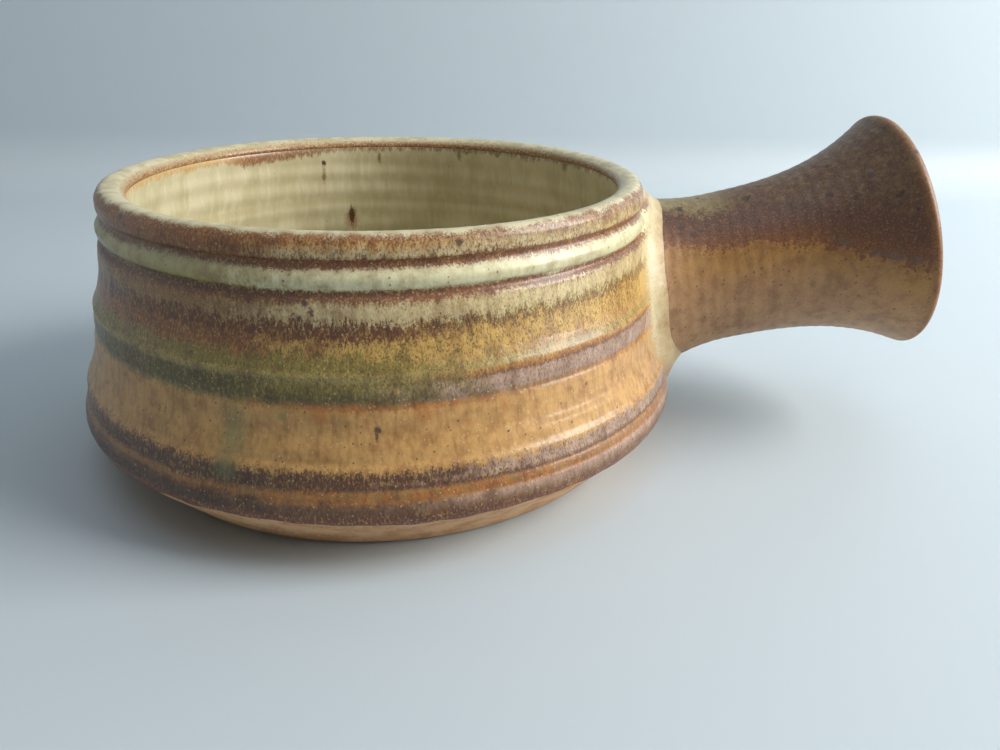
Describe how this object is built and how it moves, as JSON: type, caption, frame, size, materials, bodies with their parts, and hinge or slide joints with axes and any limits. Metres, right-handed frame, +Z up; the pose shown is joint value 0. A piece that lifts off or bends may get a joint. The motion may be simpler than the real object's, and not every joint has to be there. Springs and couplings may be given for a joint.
{
  "type": "stoneware bowl with handle",
  "caption": "Round stoneware soup bowl with throwing rings, a glazed inside, a turned bare foot, and a hollow flared handle luted to its side.",
  "frame": {"origin": "centre of the foot on the bowl's axis, at the level of the table", "axes": "+Z up along the bowl's axis, +X towards the open end of the handle, +Y to the left of someone who looks along the handle from the bowl"},
  "size_m": [0.1861, 0.132, 0.0709],
  "materials": {
    "bowl_glaze": "satin glaze in cream, rust brown, olive and tan bands",
    "handle_glaze": "satin glaze, dark brown over ochre",
    "fillet_glaze": "pale cream glaze, pooled",
    "liner_glaze": "pale grey-green gloss glaze",
    "bare_clay": "unglazed toasted stoneware, matt"
  },
  "bodies": {
    "root": {"bowl": "bowl_glaze", "handle": "handle_glaze", "joint_fillet": "fillet_glaze"}
  },
  "joints": []
}
